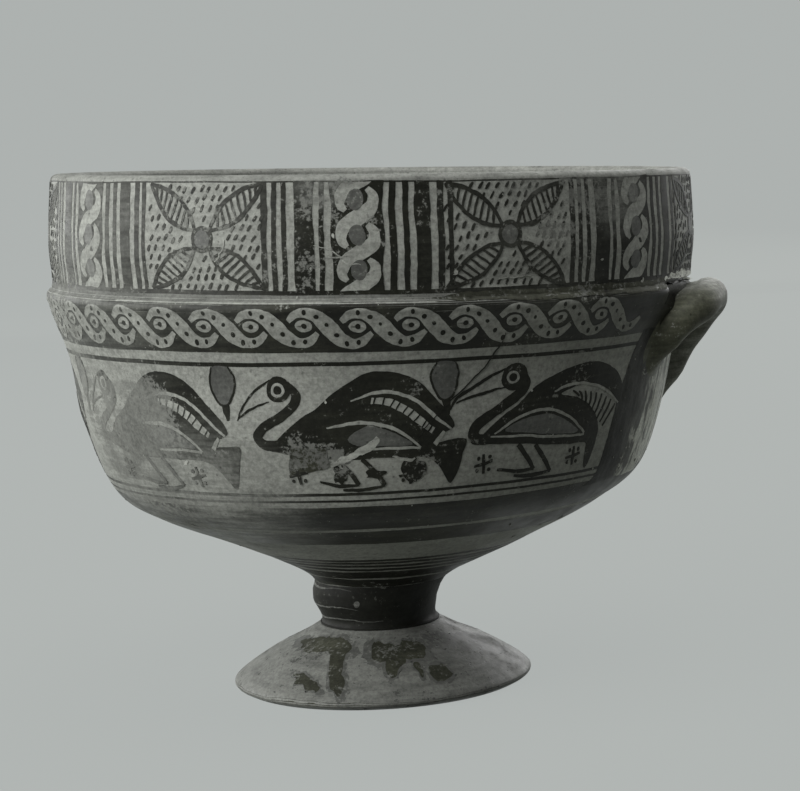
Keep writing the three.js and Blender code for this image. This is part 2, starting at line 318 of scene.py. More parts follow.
def wornPaintGroup():
    tree = bpy.data.node_groups.new("wornPaint", "ShaderNodeTree")
    for way, kind, names in (("INPUT", "Color", ("Paint", "Thin", "Ground")),
                             ("INPUT", "Float", ("Streak", "Wear", "RubbedAndLit", "Gloss", "Upright")),
                             ("OUTPUT", "Color", ("Color",)), ("OUTPUT", "Float", ("Roughness", "Height"))):
        for name in names:
            tree.interface.new_socket(name, in_out=way, socket_type="NodeSocket" + kind)
    given = addNode(tree, "NodeGroupInput").outputs
    result = addNode(tree, "NodeGroupOutput").inputs
    place = addNode(tree, "ShaderNodeTexCoord").outputs["Object"]

    def stretched(by):
        return addNode(tree, "ShaderNodeVectorMath", {0: place, 1: by}, operation="MULTIPLY").outputs[0]

    def noiseOf(where, kind):
        scale, detail, rough = brushwork[kind]
        inputs = {"Vector": where, "Scale": scale, "Detail": detail, "Roughness": rough}
        return addNode(tree, "ShaderNodeTexNoise", inputs).outputs[0]

    def math2(operation, a, b, clamp=False):
        return addNode(tree, "ShaderNodeMath", {0: a, 1: b}, operation=operation, use_clamp=clamp).outputs[0]

    def times(a, b, clamp=False):
        return math2("MULTIPLY", a, b, clamp)

    def sumOf(values, shares):
        total = times(values[0], shares[0])
        for value, share in zip(values[1:], shares[1:]):
            total = math2("ADD", total, times(value, share))
        return total

    def ramp(value, low, high, toLow=0.0, toHigh=1.0):
        inputs = {"Value": value, "From Min": low, "From Max": high, "To Min": toLow, "To Max": toHigh}
        return addNode(tree, "ShaderNodeMapRange", inputs, interpolation_type="SMOOTHSTEP").outputs[0]

    def blend(kind, share, a, b):
        first, out = {"FLOAT": (2, 0), "VECTOR": (4, 1), "RGBA": (6, 2)}[kind]      # sockets of each kind
        return addNode(tree, "ShaderNodeMix", {0: share, first: a, first + 1: b}, data_type=kind).outputs[out]

    def spread(rows):           # how strongly a point is touched by the places in a list
        total = None
        for turn, z, reach, strength in rows:
            centre = fired(onWall(turn, z)) * mm
            away = addNode(tree, "ShaderNodeVectorMath", {0: place, 1: centre}, operation="DISTANCE").outputs["Value"]
            spot = ramp(away, reach * mm, reach * mm * worn["core"], 0.0, strength)
            total = spot if total is None else math2("MAXIMUM", total, spot)
        return times(total, given["RubbedAndLit"], True)

    brushed = blend("VECTOR", given["Upright"], stretched(brushwork["level"]), stretched(brushwork["upright"]))
    mottle, blotch, grain = (noiseOf(place, kind) for kind in ("mottle", "blotch", "grain"))
    streak = noiseOf(brushed, "streak")
    rubbed, fadedAndLit = spread(worn["rubbed"]), spread(worn["fadedAndLit"])
    lines = ramp(math2("ADD", streak, times(fadedAndLit, brushwork["lineGain"])), *brushwork["lines"])
    lines = times(lines, ramp(fadedAndLit, *brushwork["lineStart"]))
    fadedAndLit = times(fadedAndLit, ramp(streak, *brushwork["fadedAndLitEdge"]), True)
    lines = math2("MAXIMUM", lines, times(fadedAndLit, brushwork["lineLeast"]))
    fadedAndLit = blend("FLOAT", given["Upright"], fadedAndLit, lines)
    bare = ramp(sumOf((streak, grain, blotch, rubbed, given["Wear"]), brushwork["lossMix"]), *brushwork["bare"])
    thin = ramp(sumOf((streak, mottle), brushwork["thinMix"]), *brushwork["thin"])
    coat = blend("RGBA", times(thin, given["Streak"], True), given["Paint"], given["Thin"])
    for share in (fadedAndLit, bare):
        coat = blend("RGBA", share, coat, given["Ground"])
    cloud = ramp(sumOf((mottle, grain), brushwork["cloudMix"]), *brushwork["cloud"])
    cells = addNode(tree, "ShaderNodeTexVoronoi", {"Vector": place, "Scale": brushwork["pitScale"], "Randomness": 1.0})
    pits = times(ramp(cells.outputs["Distance"], *brushwork["pits"]), ramp(mottle, *brushwork["pitPlaces"]))
    shade = times(cloud, math2("SUBTRACT", 1.0, times(pits, brushwork["pitDark"])))
    colour = addNode(tree, "ShaderNodeVectorMath", {0: coat, "Scale": shade}, operation="SCALE").outputs[0]
    rough = blend("FLOAT", bare, given["Gloss"], brushwork["bareRough"])
    rough = math2("ADD", rough, ramp(blotch, *brushwork["uneven"]))
    sunk = math2("ADD", times(bare, brushwork["bareDepth"]), pits)
    height = math2("SUBTRACT", sumOf((grain, streak), brushwork["reliefMix"]), sunk)
    for name, value in (("Color", colour), ("Roughness", rough), ("Height", height)):
        tree.links.new(value, result[name])
    return tree


wornPaint = wornPaintGroup()


# rubbed scales the rubbed spots and the paled spots, and the paled spots hold painted light as well as fading
def finish(name, levels, streak, wear, rubbed, gloss, bump=0.25, upright=0.0, shine=0.28, tint=neutral, thinTint=None):
    paint, thin, ground = levels        # of the paint, of its thin places, and of what shows where it is gone
    material = bpy.data.materials.new(name)
    material.use_nodes = True
    tree = material.node_tree
    shader = tree.nodes["Principled BSDF"]
    inputs = {"Paint": grey(paint, tint), "Thin": grey(thin, thinTint or tint), "Ground": grey(ground),
              "Streak": streak, "Wear": wear, "RubbedAndLit": rubbed, "Gloss": gloss, "Upright": upright}
    surface = addNode(tree, "ShaderNodeGroup", inputs, node_tree=wornPaint).outputs
    inputs = {"Height": surface["Height"], "Strength": bump, "Distance": brushwork["relief"]}
    relief = addNode(tree, "ShaderNodeBump", inputs)
    tree.links.new(surface["Color"], shader.inputs["Base Color"])
    tree.links.new(surface["Roughness"], shader.inputs["Roughness"])
    tree.links.new(relief.outputs["Normal"], shader.inputs["Normal"])
    shader.inputs["Specular IOR Level"].default_value = shine
    return material


paleSlip = finish("paleSlip", (160, 142, 116), streak=0.7, wear=0.1, rubbed=0.5, gloss=0.6, shine=0.18)
lipSlip = finish("lipSlip", (140, 120, 96), streak=0.9, wear=0.3, rubbed=0, gloss=0.6, shine=0.18)
# a darker grey laid over the ridge crest: painted shade that dulls where the lamps light its top
ridgeShade = finish("ridgeShade", (124, 102, 88), streak=1, wear=0.4, rubbed=0, gloss=0.65, shine=0.12)
insideSlip = finish("insideSlip", (60, 78, 112), streak=0.8, wear=0.05, rubbed=0, gloss=0.45)
darkPaint = finish("darkPaint", (34, 50, 116), streak=0.7, wear=0.2, rubbed=1, gloss=0.45, shine=0.12, tint=inky)
darkSolid = finish("darkSolid", (32, 56, 134), streak=0.9, wear=0.1, rubbed=0.8, gloss=0.46, shine=0.18, tint=inky)
stemPaint = finish("stemPaint", (30, 40, 92), streak=0.7, wear=0.12, rubbed=0.6, gloss=0.64, shine=0.2, tint=inky)
# its near-white ground shows where the paled spots lie at the wall's right edge under the handle: a painted sheen
# there, as well as worn paint
streakedPaintAndSheen = finish("streakedPaintAndSheen", (34, 74, 228), streak=1, wear=0.05, rubbed=0.95, gloss=0.4, bump=0.35,
                       upright=1, shine=0.07, tint=inky, thinTint=neutral)
handlePaint = finish("handlePaint", (82, 110, 160), streak=0.8, wear=0.12, rubbed=1, gloss=0.55, bump=0.3,
                     shine=0.12, tint=inky)
midPaint = finish("midPaint", (84, 100, 122), streak=0.8, wear=0.2, rubbed=1, gloss=0.5)
# a dark wash for the foot's patches, also used as painted shade at the foot's edge and along the ridge
darkWashAndShade = finish("darkWashAndShade", (60, 76, 104), streak=0.9, wear=0.4, rubbed=0.6, gloss=0.6, shine=0.1, tint=inky)
thinWash = finish("thinWash", (94, 104, 122), streak=0.9, wear=0.4, rubbed=0.6, gloss=0.55)
footClay = finish("footClay", (128, 100, 72), streak=1, wear=0.3, rubbed=0, gloss=0.55)
chippedClay = finish("chippedClay", (182, 150, 112), streak=0.8, wear=0.3, rubbed=0, gloss=0.85, bump=0.6)
# paler than the chipped clay: the break's pale clay, raised further as a painted highlight where the light is weak
brokenClayHighlight = finish("brokenClayHighlight", (236, 200, 136), streak=0.8, wear=0.3, rubbed=0, gloss=0.85, bump=0.6)
print("finishes made")


# Thrown pieces

inner = {"behind": 2, "facing": 0.3}        # a face so far behind the wall, and turned from it, is on the inside

footOutline = footSlope + smoothLine(foot["hollow"], 8)
stemOutline = stemOutside + [Vector((stem["bore"], end.y)) for end in (stemOutside[-1], stemOutside[0])]
hollowFrom, hollowTop = basin["inside"]
basinInside = insetLine([p for p in basinOutside if p.x > hollowFrom and p.y < hollowTop], basin["wall"])
basinOutline = ([Vector((0, basinOutside[0].y))] + basinOutside + [Vector(basin["rim"])] + basinInside[::-1]
                + [Vector((0, basin["floor"]))])
collarInside = insetLine(collarOutside[1:-1], collar["wall"])
collarOutline = (collarOutside + arcLine(*collar["lip"], 0, 180, 12)[1:] + collarInside[::-1]
                 + [Vector((collarOutside[0].x - collar["wall"], collarOutside[0].y))])


def slipRing(values):
    low, high, inside, outside = values
    return [Vector((inside, low)), Vector((outside, low)), Vector((outside, high)), Vector((inside, high))]


def thrown(name, outline, coats, node):
    bm = spinOutline(outline)
    for f in bm.faces:          # the inside of the bowl and the top of its lip have coats of their own
        middle = f.calc_center_median()
        out = Vector((*middle.xy, 0)).normalized()
        behind = between(skin, middle.z) - middle.xy.length
        inside = behind > inner["behind"] and f.normal.dot(out) < inner["facing"]
        if len(coats) > 1 and inside and middle.z < collar["darkTop"]:
            f.material_index = 1
        elif len(coats) > 2 and middle.z > collar["lip"][1]:
            f.material_index = 2
    fireAll(bm)
    finishPiece(bm, name, coats, [node])


thrown("thrown_foot", footOutline, [footClay], "foot")
thrown("thrown_stem", stemOutline, [stemPaint], "stem")
thrown("thrown_basin", basinOutline, [paleSlip, insideSlip], "basin")
thrown("thrown_collar", collarOutline, [paleSlip, insideSlip, lipSlip], "collar")
thrown("slip_ring_foot", slipRing(foot["slip"]), [stemPaint], "foot_luting_slip")
thrown("slip_ring_stem", slipRing(stem["slip"]), [stemPaint], "stem_luting_slip")
thrown("slip_ring_collar", slipRing(basin["slip"]), [paleSlip], "collar_luting_slip")
print("thrown pieces made")


# Handle

handle = {
    "rod": 5.75,
    "fillet": 6.5,          # the clay pressed out round each root
    "settle": 7.0,          # over this length the root takes the wall's own curve
    "turn": 15,             # and over this one its sections turn to face the wall
    "drawn": 1.2,           # a turned section is drawn out up to this, so that the rod stays as thick
    "crest": (109.1, 126.0),        # radius and height
    "spread": 14,
    "roots": [(-1, 112.0), (1, 95.0)],      # side and height
    "arm": [(0, 0, 1), (0.45, 0.47, 0.97), (0.85, 0.95, 0.62)],     # shares of the climb, the way out and the spread
    "sink": 0.3,
    "cuts": [0, 0.25, 0.7, 1.4, 2.3, 3.4, 4.7, 6.2, 8.0],       # sections near a root, then one every step
    "step": 1.8,
    "sides": 32,
    "bend": 24,             # points of the bent line between two of its marks
    "ahead": 0.5,           # the line's direction is taken over this length to each side
    "uneven": (0.15, 0.4),  # the rolled rod's thick and thin places, and how quickly they follow
}


def armPoint(root, climbed, out, spread):
    side, low = root
    start = between(skin, low) - handle["sink"]
    radius = start + (handle["crest"][0] - start) * out
    return polar(radius, side * handle["spread"] * spread, low + (handle["crest"][1] - low) * climbed)


def rolledHandle():
    front, back = ([armPoint(root, *step) for step in handle["arm"]] for root in handle["roots"])
    crest = Vector((handle["crest"][0], 0, handle["crest"][1]))
    line = smoothLine(front + [crest] + back[::-1], handle["bend"])
    reach = [0.0]
    for a, b in zip(line, line[1:]):
        reach.append(reach[-1] + (b - a).length)
    length = reach[-1]

    def pointAt(d):
        d = min(max(d, 0), length)
        i = max(k for k, r in enumerate(reach[:-1]) if r <= d)
        return line[i].lerp(line[i + 1], (d - reach[i]) / (reach[i + 1] - reach[i]))

    cuts, fillet, ahead = handle["cuts"], handle["fillet"], handle["ahead"]
    thick, quick = handle["uneven"]
    count = round((length - 2 * cuts[-1]) / handle["step"])
    middle = [cuts[-1] + (length - 2 * cuts[-1]) * k / count for k in range(1, count)]
    bm = bmesh.new()
    before = None
    turnTo = Matrix.Identity(3)
    way = Vector((0, 0, 1))
    for d in cuts + middle + [length - c for c in reversed(cuts)]:
        p = pointAt(d)
        toEnd = min(d, length - d)
        rooted = ease(1 - toEnd / handle["turn"])
        run = (pointAt(d + ahead) - pointAt(d - ahead)).normalized()
        inward = Vector((p.x, p.y, 0)).normalized() * (1 if d < length / 2 else -1)
        heading = (run * (1 - rooted) + inward * rooted).normalized()
        turnTo = way.rotation_difference(heading).to_matrix() @ turnTo
        way = heading
        short = max(0, fillet - toEnd)
        radius = handle["rod"] + fillet - math.sqrt(fillet ** 2 - short ** 2) + thick * math.sin(d * quick)
        made = bmesh.ops.create_circle(bm, segments=handle["sides"], radius=radius,
                                       matrix=Matrix.Translation(p) @ turnTo.to_4x4())
        pressed = max(0, 1 - toEnd / handle["settle"]) ** 2
        slant = (run - heading * heading.dot(run)).normalized()
        drawn = min(1 / max(heading.dot(run), 0.5), handle["drawn"]) - 1
        for v in made["verts"]:
            v.co += slant * slant.dot(v.co - p) * drawn
            wall = between(skin, v.co.z) - handle["sink"]
            grow = 1 + (wall / v.co.xy.length - 1) * pressed
            v.co.x, v.co.y = v.co.x * grow, v.co.y * grow
        loop = list({e for v in made["verts"] for e in v.link_edges})
        if before:
            bmesh.ops.bridge_loops(bm, edges=before + loop)
        before = loop
    bmesh.ops.holes_fill(bm, edges=[e for e in bm.edges if e.is_boundary], sides=0)
    bmesh.ops.recalc_face_normals(bm, faces=bm.faces[:])
    fireAll(bm)
    finishPiece(bm, "rolled_handle", [handlePaint], ["handle", "handle_pad_front", "handle_pad_back"])


rolledHandle()
print("handle made")


# Paint is laid on as thin closed layers, wrapped round the wall

layers = {"sunk": -0.3, "under": 0.018, "band": 0.03, "zone": 0.06, "dark": 0.09, "pale": 0.12, "mid": 0.15,
          "line": 0.18, "chip": 0.21, "crack": 0.23}        # how far each stands out
brush = {
    "wave": 6.28,           # a wave starts anywhere in this
    "seed": 12,             # the painter's hand shakes alike in every run
    "fine": (0.55, 3),      # how quickly it shakes, and how unlike two drawings are
    "across": (0.21, 0.4, 0.7, 0.2),        # a slow sway, then share, beat and slant of a quicker one
    "up": (0.17, 0.4, 0.5, 0.3),
    "beats": (2, 5, 11, 23, 41),            # waves round the edge of a band
    "calm": 0.12,           # the quicker ones are lower
    "row": 0.6,             # height of a band's rows of faces
}
corners = ((1, 1), (-1, 1), (1, -1), (-1, -1))
noise.seed_set(brush["seed"])


def drawOut(bm, edge):          # a strip's next edge
    made = bmesh.ops.extrude_edge_only(bm, edges=[edge])["geom"]
    return next(g for g in made if isinstance(g, bmesh.types.BMEdge))


def stroke(bm, points, steps=6):        # a brush stroke: points are u, z and width
    line = smoothLine(points, steps)
    edge = None
    for i, p in enumerate(line):
        run = (line[min(i + 1, len(line) - 1)].xy - line[max(i - 1, 0)].xy).normalized()
        across = Vector((-run.y, run.x)) * p.z / 2
        ends = [Vector((*(p.xy + across), 0)), Vector((*(p.xy - across), 0))]
        if edge is None:
            pair = [bm.verts.new(end) for end in ends]
            edge = bm.edges.new(pair)
        else:
            edge = drawOut(bm, edge)
            fresh = list(edge.verts)
            if (fresh[0].co - pair[0].co).length > (fresh[0].co - pair[1].co).length:
                fresh.reverse()
            pair = fresh
            pair[0].co, pair[1].co = ends


def brushLine(bm, points, width, tip=0.45, steps=6):        # a stroke that starts and ends finer
    ends = (0, len(points) - 1)
    stroke(bm, [(*p, width * (tip if i in ends else 1)) for i, p in enumerate(points)], steps)


def blob(bm, points, steps=5, soft=True):       # a filled shape with a soft outline
    line = smoothLine(points, steps, closed=True) if soft else [Vector(p) for p in points]
    face = bm.faces.new([bm.verts.new((p.x, p.y, 0)) for p in line])
    face.normal_update()
    bmesh.ops.triangulate(bm, faces=[face], ngon_method="EAR_CLIP")


def disc(bm, u, z, radius, tall=1.0, segments=18):
    shape = Matrix.Translation((u, z, 0)) @ Matrix.Diagonal((1, tall, 1, 1))
    bmesh.ops.create_circle(bm, cap_ends=True, cap_tris=True, segments=segments, radius=radius, matrix=shape)


def hoop(bm, u, z, radius, width, segments=20):
    loops = []
    for r in (radius - width / 2, radius + width / 2):
        made = bmesh.ops.create_circle(bm, segments=segments, radius=r, matrix=Matrix.Translation((u, z, 0)))
        loops += {e for v in made["verts"] for e in v.link_edges}
    bmesh.ops.bridge_loops(bm, edges=loops)


def cutAcross(bm, place, way, trim=False):
    bmesh.ops.bisect_plane(bm, geom=bm.verts[:] + bm.edges[:] + bm.faces[:], plane_co=place, plane_no=way,
                           clear_outer=trim)


def asLayer(bm, lift, stepU=3.5, stepZ=4.0):        # cuts a drawing small enough to bend, and gives it thickness
    for axis, step, way in ((0, stepU, Vector((1, 0, 0))), (1, stepZ, Vector((0, 1, 0)))):
        low = min(v.co[axis] for v in bm.verts)
        high = max(v.co[axis] for v in bm.verts)
        for k in range(math.floor(low / step) + 1, math.ceil(high / step)):
            cutAcross(bm, way * k * step, way)
    bmesh.ops.translate(bm, verts=bm.verts[:], vec=(0, 0, layers["sunk"]))
    made = bmesh.ops.extrude_face_region(bm, geom=bm.faces[:], use_keep_orig=True)["geom"]
    top = [g for g in made if isinstance(g, bmesh.types.BMVert)]
    bmesh.ops.translate(bm, verts=top, vec=(0, 0, lift - layers["sunk"]))
    bmesh.ops.recalc_face_normals(bm, faces=bm.faces[:])
    return asMesh(bm, "drawing")


def sway(main, other, beats, start, later):
    slow, share, quick, slant = beats
    return math.sin(main * slow + start) + share * math.sin(main * quick + other * slant + later)


def layPaint(name, placed, coat, radius, wobble=0.25, edge=0.22):
    # placed lists a layer, its angle, and the seed of its small unevenness
    bm = bmesh.new()
    normals = []
    fine, unlike = brush["fine"]
    for mesh, turn, seed in placed:
        first = len(bm.verts)
        bm.from_mesh(mesh)
        bm.verts.ensure_lookup_table()
        hand = random.Random(seed)
        a, b, c, d = (hand.uniform(0, brush["wave"]) for _ in range(4))
        for v in bm.verts[first:]:
            u, z, lift = v.co
            shake = noise.noise_vector(Vector((u * fine + a, z * fine + b, c * unlike))) * edge
            du = wobble * sway(z, u, brush["across"], a, b) + shake.x
            dz = wobble * sway(u, z, brush["up"], c, d) + shake.y
            angle = turn + math.degrees((u + du) / radius)
            base = fired(onWall(angle, z + dz, lift))
            normals.append((fired(onWall(angle, z + dz, lift + 1)) - base).normalized())
            v.co = base * mm
    finishPiece(bm, name, [coat], normals=normals)


def each(mesh, turns):          # the same layer at several angles
    return [(mesh, turn, seed) for turn, seed in turns]


def ringBand(low, high, lift, wave, seed):       # a painted band all the way round, with a brushed edge
    hand = random.Random(seed)
    beats = [(n, hand.uniform(0, brush["wave"]), wave / (1 + n * brush["calm"])) for n in brush["beats"]]
    count = max(2, round((high - low) / brush["row"]))
    heights = [low + (high - low) * i / count for i in range(count + 1)]

    def cross(z, out):
        p = onWall(-frontAngle, z, out)
        return Vector((p.x, p.z))

    bm = spinOutline([cross(z, layers["sunk"]) for z in heights] + [cross(z, lift) for z in reversed(heights)])
    for v in bm.verts:
        angle = math.atan2(v.co.y, v.co.x)
        rise = sum(size * math.sin(n * angle + phase) for n, phase, size in beats) / 2
        grow = (between(skin, v.co.z + rise) - between(skin, v.co.z)) / v.co.xy.length
        v.co = Vector((v.co.x * (1 + grow), v.co.y * (1 + grow), v.co.z + rise))
    return bm


bands = {
    "broad": [(116.8, 131.3), (62.2, 70.4), (55.5, 61.0), (34.4, 37.4)],     # low and high edges
    "lines": [(163.9, 164.3), (133.4, 134.7), (112.9, 114.1), (74.0, 74.9), (71.9, 72.6), (46.7, 47.6), (45.1, 46.1),
              (43.5, 44.6), (41.9, 43.0), (38.0, 41.2)],
    "edge": [(1.1, 2.6)],
    "ridge": [(129.6, 133.7)],
    "seed": 20,
}


def paintBands(name, rows, coat, wave, lift=layers["band"]):
    whole = bmesh.new()
    for i, (low, high) in enumerate(rows):
        whole.from_mesh(asMesh(ringBand(low, high, lift, wave, bands["seed"] + i), "band"))
    fireAll(whole)
    finishPiece(whole, name, [coat])


paintBands("paint_broad_bands", bands["broad"], darkSolid, 0.3)
paintBands("paint_fine_bands", bands["lines"], darkPaint, 0.25)
# a dark ragged band round the foot's lower edge: partly chipping, partly painted shade under the edge
paintBands("foot_edge_chips_and_shade", bands["edge"], darkWashAndShade, 0.7)
# the band over the ridge crest is painted shade
paintBands("ridge_painted_shade", bands["ridge"], ridgeShade, 0.1, layers["under"])
print("bands painted")


# Collar panels: upright cable, stripes, and a four-leaved rosette

panel = {
    "repeats": 7,
    "first": -2.4,          # angle of the cable that faces the camera
    "radius": 103.6,
    "low": 134.2,
    "high": 164.2,
    "cable": 7.4,           # half width
    "strand": [(3.0, 2.9, 1.3), (4.7, 0.8, 2.8), (4.2, -2.2, 3.9), (0.4, -4.7, 4.5), (-3.5, -7.0, 3.9),
               (-4.7, -10.2, 2.9), (-3.2, -12.4, 1.3)],     # across, up from an eye, width
    "pitch": 9.5,
    "trim": 0.4,            # strands end this far inside the panel
    "eyes": [159.3, 149.9, 140.3],
    "eye": (2.4, 1.2),      # radius, height to width
    "stripes": [(9.1, 11.0), (13.1, 14.8), (16.5, 21.0), (23.0, 24.8), (26.1, 27.6), (-11.0, -9.5), (-18.0, -12.3),
                (-21.8, -20.4), (-24.7, -23.3), (-27.9, -26.1)],
    "rosette": 45.0,        # its centre, from the cable
    "half": (19.8, 15.0),
    "hub": (3.1, 1.2, 3.0),         # radius and width of its ring, radius of its disc
    "petal": 3.25,          # half width
    "root": 2.3,
    "tip": (0.8, 0.6),      # from the sides of the field
    "bow": (0, 0.2, 0.45, 0.7, 0.88, 1),
    "fullness": 0.9,        # under 1, a petal is widest nearer its root
    "veins": (8, 0.16, 0.1),        # count, first and step along a petal
    "veinLean": 0.9,
    "veinInset": 0.3,
    "seed": 5,
    "seeds": 40,
    "slips": {0: (0, -0.3), 6: (-1.1, 0.8)},        # cables and rosettes that stand a little to one side
}
dashes = {              # short slanting dashes in the fields between the petals
    "rows": 11,
    "columns": 15,
    "margin": (1.2, 1.5),
    "stagger": 0.6,
    "stray": 0.4,
    "clear": 0.3,           # share of the field that stays free round petals and hub
    "side": 0.5,            # and at the field's sides
    "slant": (0.55, 0.85),
    "width": (0.65, 0.95),
}


def petalWidth(t):
    return math.sin(math.pi * t ** panel["fullness"])


def rosetteLines(bm, cu, cz, hand):
    hu, hz = panel["half"]
    ring, width, _ = panel["hub"]
    hoop(bm, cu, cz, ring, width)
    count, first, step = panel["veins"]
    for su, sz in corners:
        root = Vector((su * panel["root"], sz * panel["root"]))
        run = Vector((su * (hu - panel["tip"][0]), sz * (hz - panel["tip"][1]))) - root
        out = Vector((-run.y, run.x)).normalized()
        for way in (1, -1):
            bow = [root + run * t + out * way * panel["petal"] * petalWidth(t) for t in panel["bow"]]
            brushLine(bm, [(cu + p.x, cz + p.y) for p in bow], 1.15, 0.7)
        lean = run.normalized() * (panel["veinLean"] * su)
        for k in range(count):
            t = first + step * k
            half = (panel["petal"] - panel["veinInset"]) * petalWidth(t)
            middle = root + run * t
            vein = (middle + out * half + lean, middle, middle - out * half - lean)
            brushLine(bm, [(cu + p.x, cz + p.y) for p in vein], 0.75, 0.7, 3)
    mu, mz = dashes["margin"]
    stray, stagger, clear = dashes["stray"], dashes["stagger"], dashes["clear"]
    for row in range(dashes["rows"]):
        for col in range(dashes["columns"]):
            u = -hu + mu + col * (2 * hu - 2 * mu) / (dashes["columns"] - 1) + (stagger if row % 2 else -stagger)
            u += hand.uniform(-stray, stray)
            z = -hz + mz + row * (2 * hz - 2 * mz) / (dashes["rows"] - 1) + hand.uniform(-stray, stray)
            outU, outZ = abs(u) / hu, abs(z) / hz
            if abs(outU - outZ) > clear and max(outU, outZ) > clear and abs(u) < hu - dashes["side"]:
                slant = Vector(dashes["slant"]) * (1 if u * z < 0 else 0.9)
                marks = [(cu + u + slant.x * way, cz + z + slant.y * way) for way in (-1, 0, 1)]
                brushLine(bm, marks, hand.uniform(*dashes["width"]), 0.6, 3)


def panelDrawings():
    dark, pale, mid, line, hub = (bmesh.new() for _ in range(5))
    low, high = panel["low"], panel["high"]
    hand = random.Random(panel["seed"])
    for left, right in panel["stripes"] + [(-panel["cable"], panel["cable"])]:
        middle, width = (left + right) / 2, right - left
        stroke(dark, [(middle + hand.uniform(-0.2, 0.2), low + (high - low) * k / 4, width * hand.uniform(0.9, 1.08))
                      for k in range(5)])
    for k in range(-1, 3):      # pale strands of the cable, one between each pair of eyes
        z = panel["eyes"][0] - panel["pitch"] * k
        stroke(pale, [(u, z + up, width) for u, up, width in panel["strand"]])
    for z, way in ((low + panel["trim"], -1), (high - panel["trim"], 1)):
        cutAcross(pale, (0, z, 0), (0, way, 0), True)
    for z in panel["eyes"]:
        disc(mid, hand.uniform(-0.3, 0.3), z, *panel["eye"])
    cu, cz = panel["rosette"], (low + high) / 2
    disc(hub, cu, cz, panel["hub"][2])
    rosetteLines(line, cu, cz, hand)
    return [asLayer(bm, layers[key]) for bm, key in ((dark, "dark"), (pale, "pale"), (mid, "mid"), (line, "line"),
                                                     (hub, "mid"))]


dark, pale, mid, line, hub = panelDrawings()
cables, rosettes = [], []
for k in range(panel["repeats"]):
    turn = panel["first"] + k * 360 / panel["repeats"]
    aside = panel["slips"].get(k, (0, 0))
    cables.append((turn + aside[0], panel["seeds"] + k))
    rosettes.append((turn + aside[1], panel["seeds"] + k))
layPaint("paint_panel_stripes", each(dark, cables), darkPaint, panel["radius"], wobble=0.1)
layPaint("paint_panel_cables", each(pale, cables), paleSlip, panel["radius"])
layPaint("paint_panel_eyes", each(mid, cables) + each(hub, rosettes), midPaint, panel["radius"])
layPaint("paint_panel_rosettes", each(line, rosettes), darkPaint, panel["radius"])
print("collar panels painted")


# Cable round the ridge

cable = {
    "repeats": 42,
    "first": -2.7,
    "radius": 103.0,
    "height": 124.6,
    "skip": (45, 110),      # behind the handle the band is plain
    "strand": [(-4.4, 1.4, 1.4), (-1.8, 3.4, 2.4), (1.8, 3.6, 3.0), (5.0, 2.0, 4.4), (7.6, -0.7, 5.1),
               (10.2, -3.3, 4.5), (13.6, -4.9, 3.1), (17.0, -4.3, 2.6), (19.6, -2.0, 1.4)],     # as the panel's
    "eye": (2.5, 0.68),     # radius, height to width
    "pupil": (0.8, 0.9),
    "dots": [(0.6, 4.0), (4.2, 2.7), (6.6, 0.4), (9.2, -2.4), (12.4, -4.6), (15.6, -4.7)],
    "cut": (3, 0.6),        # the ridge curves tightly, so the layer is cut finely
    "seed": 9,
    "seeds": 80,
}


def cableDrawings():
    pale, line = bmesh.new(), bmesh.new()
    z = cable["height"]
    stroke(pale, [(u, z + up, width) for u, up, width in cable["strand"]])
    disc(pale, 0, z, *cable["eye"])
    disc(line, 0.1, z, *cable["pupil"], 12)
    hand = random.Random(cable["seed"])
    for u, up in cable["dots"]:
        disc(line, u + hand.uniform(-0.3, 0.3), z + up + hand.uniform(-0.3, 0.3), hand.uniform(0.55, 0.8),
             hand.uniform(0.9, 1.3), 10)
    return asLayer(pale, layers["pale"], *cable["cut"]), asLayer(line, layers["line"], *cable["cut"])


pale, line = cableDrawings()
turns = [(halfTurn(cable["first"] + k * 360 / cable["repeats"]), cable["seeds"] + k) for k in range(cable["repeats"])]
turns = [(turn, seed) for turn, seed in turns if not cable["skip"][0] < turn < cable["skip"][1]]
layPaint("paint_ridge_cable", each(pale, turns), paleSlip, cable["radius"], 0.2)
layPaint("paint_ridge_dots", each(line, turns), darkPaint, cable["radius"], wobble=0.2)
print("ridge cable painted")


# Frieze of water birds, facing left

frieze = {
    "radius": 96.0,
    "pitch": 41.4,
    "eye": 24.6,            # angle of the eye of the bird nearest the handle
    "kinds": [0, 1, 1, 0, 1, 0, 1],      # 0 has a hatched wing, 1 a barred one
    "seeds": 160,
    "bud": [(-2.8, 113.0), (-4.0, 109.6), (-3.4, 105.6), (-1.2, 102.2), (1.6, 102.4), (3.5, 105.6), (3.9, 109.6),
            (2.6, 113.0)],
    "budTip": [(0, 104.0, 3.0), (0.6, 101.0, 2.4), (1.2, 97.4, 0.9)],
    "cross": [(-3.0, -0.5), (-0.4, 3.0)],       # ends of its arms
    "crossDot": (1.9, 0.6),
    "zoneLeft": [(54.2, 117.6), (52.6, 105), (51.2, 99), (50.2, 90.6), (49.6, 83), (49.4, 76), (48.9, 71.6),
                 (46.4, 69.2)],     # angle, height
    "zoneRight": [(110, 69.2), (107, 78), (106, 92), (106.5, 104), (108, 117.6)],
}
